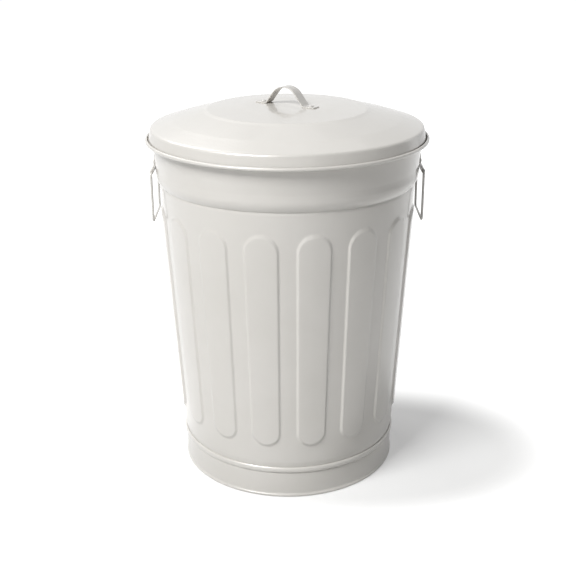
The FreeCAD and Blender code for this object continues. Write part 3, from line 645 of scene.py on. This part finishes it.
def build_bail(side):
    def builder(bm):
        line = bail_line()
        rows = []
        turns = even_angles(BAIL_SIDES)
        for index, (place, normal) in enumerate(zip(line, normals(line))):
            # The cut ends of the wire are a little rounded.
            radius = BAIL_RADIUS * (0.86 if index in (0, len(line) - 1) else 1.0)
            rows.append([bm.verts.new((
                radius * math.sin(a),
                place[0] + radius * math.cos(a) * normal[0],
                place[1] + radius * math.cos(a) * normal[1])) for a in turns])
        for here, there in zip(rows, rows[1:]):
            for i in range(len(turns)):
                j = (i + 1) % len(turns)
                bm.faces.new((here[i], here[j], there[j], there[i]))
        bm.faces.new(rows[0])
        bm.faces.new(rows[-1][::-1])
        bmesh.ops.transform(bm, matrix=side_frame(side), verts=bm.verts)
    return builder


# ---------------------------------------------------------------- materials

def srgb(red, green, blue):
    """A colour given as it looks on screen, 0 to 255, in linear light."""
    def channel(value):
        value /= 255
        return value / 12.92 if value <= 0.04045 else ((value + 0.055) / 1.055) ** 2.4
    return channel(red), channel(green), channel(blue), 1.0


class Nodes:
    """A material's node tree with short calls for what every material here uses."""

    def __init__(self, name):
        self.material = bpy.data.materials.new(name)
        self.material.use_nodes = True
        self.tree = self.material.node_tree
        self.shader = self.tree.nodes["Principled BSDF"]
        self.place = self.add("ShaderNodeTexCoord").outputs["Object"]

    def add(self, kind, **settings):
        node = self.tree.nodes.new(kind)
        for key, value in settings.items():
            setattr(node, key, value)
        return node

    def link(self, source, target):
        self.tree.links.new(source, target)

    def noise(self, scale, detail, rough, stretch=(1, 1, 1)):
        """Noise over the piece; a stretch below 1 draws it out along that axis."""
        mapping = self.add("ShaderNodeMapping")
        mapping.inputs["Scale"].default_value = stretch
        self.link(self.place, mapping.inputs["Vector"])
        node = self.add("ShaderNodeTexNoise")
        node.inputs["Scale"].default_value = scale
        node.inputs["Detail"].default_value = detail
        node.inputs["Roughness"].default_value = rough
        self.link(mapping.outputs["Vector"], node.inputs["Vector"])
        return node.outputs["Fac"]

    def ramp(self, value, low, high, to_low, to_high):
        """A value moved from one range to another, and kept inside it."""
        node = self.add("ShaderNodeMapRange")
        for socket, number in zip(("From Min", "From Max", "To Min", "To Max"),
                                  (low, high, to_low, to_high)):
            node.inputs[socket].default_value = number
        self.link(value, node.inputs["Value"])
        return node.outputs["Result"]

    def mix(self, factor, first, second):
        """Two colours mixed; each is a colour or another node's output."""
        node = self.add("ShaderNodeMix", data_type="RGBA")
        self.link(factor, node.inputs["Factor"])
        # Of the node's inputs and outputs these are the ones for colours.
        for socket, value in ((node.inputs[6], first), (node.inputs[7], second)):
            if hasattr(value, "links"):
                self.link(value, socket)
            else:
                socket.default_value = value
        return node.outputs[2]

    def bump(self, height, distance, strength, below=None):
        """A normal bumped by a height, on top of another bump where one is given."""
        node = self.add("ShaderNodeBump")
        node.inputs["Strength"].default_value = strength
        node.inputs["Distance"].default_value = distance
        self.link(height, node.inputs["Height"])
        if below is not None:
            self.link(below, node.inputs["Normal"])
        return node.outputs["Normal"]


COAT_METALLIC = 0.12
COAT_IOR = 1.5
CLEAR_WEIGHT = 0.6
CLEAR_ROUGHNESS = 0.06
FLECK_SHADE = 0.82


def coat_material(name, colour, shade, roughness):
    """A smooth sprayed coat over rolled sheet: faint clouds and flecks of colour, duller
    worn patches, and fine peel over the sheet's own waves and dents."""
    mat = Nodes(name)
    fleck = tuple(FLECK_SHADE * channel for channel in shade[:3]) + (1.0,)
    clouds = mat.ramp(mat.noise(5.0, 4.0, 0.6), 0.3, 0.7, 0.0, 1.0)
    colour_out = mat.mix(clouds, colour, shade)
    flecks = mat.ramp(mat.noise(900.0, 2.0, 0.5), 0.66, 0.80, 0.0, 0.35)
    colour_out = mat.mix(flecks, colour_out, fleck)
    mat.link(colour_out, mat.shader.inputs["Base Color"])
    gloss = mat.ramp(mat.noise(14.0, 5.0, 0.65, (1, 1, 0.35)), 0.3, 0.75,
                     roughness - 0.05, roughness + 0.07)
    mat.link(gloss, mat.shader.inputs["Roughness"])
    peel = mat.bump(mat.noise(420.0, 3.0, 0.5), 0.08 * MM, 0.35)
    waves = mat.bump(mat.noise(9.0, 2.0, 0.45, (1, 1, 0.15)), 4.0 * MM, 0.30, peel)
    dents = mat.bump(mat.noise(11.0, 2.0, 0.4), 0.6 * MM, 0.25, waves)
    mat.link(dents, mat.shader.inputs["Normal"])
    mat.shader.inputs["Metallic"].default_value = COAT_METALLIC
    mat.shader.inputs["IOR"].default_value = COAT_IOR
    mat.shader.inputs["Coat Weight"].default_value = CLEAR_WEIGHT
    mat.shader.inputs["Coat Roughness"].default_value = CLEAR_ROUGHNESS
    return mat.material


COAT = coat_material("pale_coat", srgb(214, 211, 206), srgb(208, 205, 199), 0.34)
PLATE = coat_material("plate_coat", srgb(210, 207, 202), srgb(202, 199, 194), 0.36)
RIVET = coat_material("rivet_coat", srgb(204, 201, 197), srgb(192, 189, 185), 0.40)
BAIL = coat_material("wire_coat", srgb(208, 206, 202), srgb(198, 196, 192), 0.33)

# ---------------------------------------------------------------- pieces

finish_mesh("wall_panel", build_wall, "can", ["body_shell"], COAT)
finish_mesh("lid_dome", build_lid, "lid", ["lid_shell"], COAT)
finish_mesh("bottom_sheet", build_pan, "can", ["bottom_pan"], COAT)
finish_mesh("foot_hoop", build_band, "can", ["foot_band"], COAT)

finish_mesh("lid_strap", build_strap, "lid", ["lid_handle"], PLATE)
finish_mesh("strap_rivets", build_lid_rivets, "lid", ["lid_handle_rivets"], RIVET)
finish_mesh("plate_rivets", build_bracket_rivets, "can", ["bracket_rivets"], RIVET)
for side_name, side_sign in (("right", 1), ("left", -1)):
    finish_mesh(side_name + "_plate", build_bracket(side_sign), "can",
                [side_name + "_handle_bracket"], PLATE)
    finish_mesh(side_name + "_wire", build_bail(side_sign), side_name + "_handle",
                [side_name + "_bail"], BAIL)


# ---------------------------------------------------------------- floor, lamps and camera

FLOOR_HALF = 12.0
FLOOR_COLOUR = (0.60, 0.60, 0.595, 1)
# The floor is white far away. Inside an oval around the bin it glows less to the eye: a painted shade
# that darkens the floor there and lets the bin's soft shadow show. Beyond the oval the glow covers
# the shadow.
# GLOW_FROM and GLOW_TO are shares of the oval's reach from its centre.
PAINTED_SHADE_GLOW, FAR_GLOW = 0.37, 1.0
GLOW_FROM, GLOW_TO = 0.62, 1.12
GLOW_CENTRE, GLOW_REACH = (0.12, -0.03), (0.44, 0.26)


def seen_by_eye(tree):
    """1 for rays that show the background: straight, mirrored or through glass."""
    path = tree.nodes.new("ShaderNodeLightPath")
    value = path.outputs["Is Camera Ray"]
    for kind in ("Is Glossy Ray", "Is Transmission Ray"):
        either = tree.nodes.new("ShaderNodeMath")
        either.operation = "MAXIMUM"
        tree.links.new(value, either.inputs[0])
        tree.links.new(path.outputs[kind], either.inputs[1])
        value = either.outputs[0]
    return value


def floor_material():
    """White paper that lights itself to the eye, least inside the oval, where the lower glow is a
    painted shade around the bin.
    """
    material = bpy.data.materials.new("floor_paper")
    material.use_nodes = True
    tree = material.node_tree
    tree.nodes.clear()
    out = tree.nodes.new("ShaderNodeOutputMaterial")
    both = tree.nodes.new("ShaderNodeAddShader")
    paper = tree.nodes.new("ShaderNodeBsdfDiffuse")
    paper.inputs["Color"].default_value = FLOOR_COLOUR
    white = tree.nodes.new("ShaderNodeEmission")
    place = tree.nodes.new("ShaderNodeTexCoord")
    oval = tree.nodes.new("ShaderNodeVectorMath")
    oval.operation = "MULTIPLY_ADD"
    oval.inputs[1].default_value = (1 / GLOW_REACH[0], 1 / GLOW_REACH[1], 0.0)
    oval.inputs[2].default_value = (-GLOW_CENTRE[0] / GLOW_REACH[0],
                                    -GLOW_CENTRE[1] / GLOW_REACH[1], 0.0)
    away = tree.nodes.new("ShaderNodeVectorMath")
    away.operation = "LENGTH"
    # Less glow inside the oval: a painted shade on the floor around the bin.
    glow = tree.nodes.new("ShaderNodeMapRange")
    glow.interpolation_type = "SMOOTHSTEP"
    for socket, value in (("From Min", GLOW_FROM), ("From Max", GLOW_TO),
                          ("To Min", PAINTED_SHADE_GLOW), ("To Max", FAR_GLOW)):
        glow.inputs[socket].default_value = value
    seen = tree.nodes.new("ShaderNodeMath")
    seen.operation = "MULTIPLY"
    tree.links.new(place.outputs["Object"], oval.inputs[0])
    tree.links.new(oval.outputs["Vector"], away.inputs[0])
    tree.links.new(away.outputs["Value"], glow.inputs["Value"])
    tree.links.new(glow.outputs["Result"], seen.inputs[0])
    tree.links.new(seen_by_eye(tree), seen.inputs[1])
    tree.links.new(seen.outputs[0], white.inputs["Strength"])
    tree.links.new(paper.outputs[0], both.inputs[0])
    tree.links.new(white.outputs[0], both.inputs[1])
    tree.links.new(both.outputs[0], out.inputs[0])
    return material


def make_floor():
    mesh = bpy.data.meshes.new("floor")
    bm = bmesh.new()
    corners = [bm.verts.new((FLOOR_HALF * x, FLOOR_HALF * y, 0.0))
               for x, y in ((-1, -1), (1, -1), (1, 1), (-1, 1))]
    bm.faces.new(corners)
    bm.to_mesh(mesh)
    bm.free()
    floor = bpy.data.objects.new("floor", mesh)
    bpy.context.scene.collection.objects.link(floor)
    floor.data.materials.append(floor_material())


LAMP_TARGET = Vector((0, 0, 0.35))
# Name, angle from the front (left is negative), angle up, distance, width and height, power.
LAMPS = (
    ("key", -41, 49, 4.0, (1.6, 1.6), 164),
    ("front", 0, 8, 4.0, (3.0, 1.2), 5),
    ("back_left", -140, 45, 4.0, (1.6, 1.6), 28),
    ("over_back", -175, 60, 4.0, (2.8, 2.2), 6),
    ("back_right", 120, 12, 3.0, (0.9, 2.2), 4),
)


def area_lamp(name, azimuth, elevation, distance, size, power):
    """A lamp that faces the bin's middle from an angle round it and an angle up."""
    data = bpy.data.lights.new(name, "AREA")
    data.shape = "RECTANGLE"
    data.size, data.size_y = size
    data.energy = power
    lamp = bpy.data.objects.new(name, data)
    turn, lift = math.radians(azimuth), math.radians(elevation)
    away = Vector((math.sin(turn) * math.cos(lift), -math.cos(turn) * math.cos(lift), math.sin(lift)))
    lamp.location = LAMP_TARGET + distance * away
    lamp.rotation_euler = (-away).to_track_quat("-Z", "Y").to_euler()
    bpy.context.scene.collection.objects.link(lamp)


WORLD_STRENGTH = 0.024


def make_world():
    """White to the eye, and almost no light on the bin."""
    world = bpy.data.worlds.new("studio")
    bpy.context.scene.world = world
    world.use_nodes = True
    tree = world.node_tree
    tree.nodes.clear()
    out = tree.nodes.new("ShaderNodeOutputWorld")
    background = tree.nodes.new("ShaderNodeBackground")
    background.inputs["Color"].default_value = (1.0, 1.0, 1.0, 1.0)
    level = tree.nodes.new("ShaderNodeMapRange")
    level.inputs["To Min"].default_value = WORLD_STRENGTH
    level.inputs["To Max"].default_value = 1.0
    tree.links.new(seen_by_eye(tree), level.inputs["Value"])
    tree.links.new(level.outputs[0], background.inputs["Strength"])
    tree.links.new(background.outputs[0], out.inputs[0])


# Solved from the outlines in the photo: place, angle down, roll in degrees, and focal length.
CAMERA_PLACE = (0.0, -1.6704, 0.9574)
CAMERA_PITCH = 21.01
CAMERA_ROLL = 0.303
FOCAL_PIXELS = 990
PHOTO_WIDTH = 576
SENSOR = 36.0


def make_camera():
    """The camera that took the photo."""
    data = bpy.data.cameras.new("camera")
    data.sensor_width = SENSOR
    data.lens = FOCAL_PIXELS * SENSOR / PHOTO_WIDTH
    camera = bpy.data.objects.new("camera", data)
    tilt = Matrix.Rotation(math.radians(90 - CAMERA_PITCH), 4, "X")
    roll = Matrix.Rotation(math.radians(-CAMERA_ROLL), 4, "Z")
    camera.matrix_world = Matrix.Translation(CAMERA_PLACE) @ tilt @ roll
    bpy.context.scene.collection.objects.link(camera)
    bpy.context.scene.camera = camera


make_floor()
make_world()
for lamp_settings in LAMPS:
    area_lamp(*lamp_settings)
make_camera()
bpy.context.scene.view_settings.view_transform = "Standard"
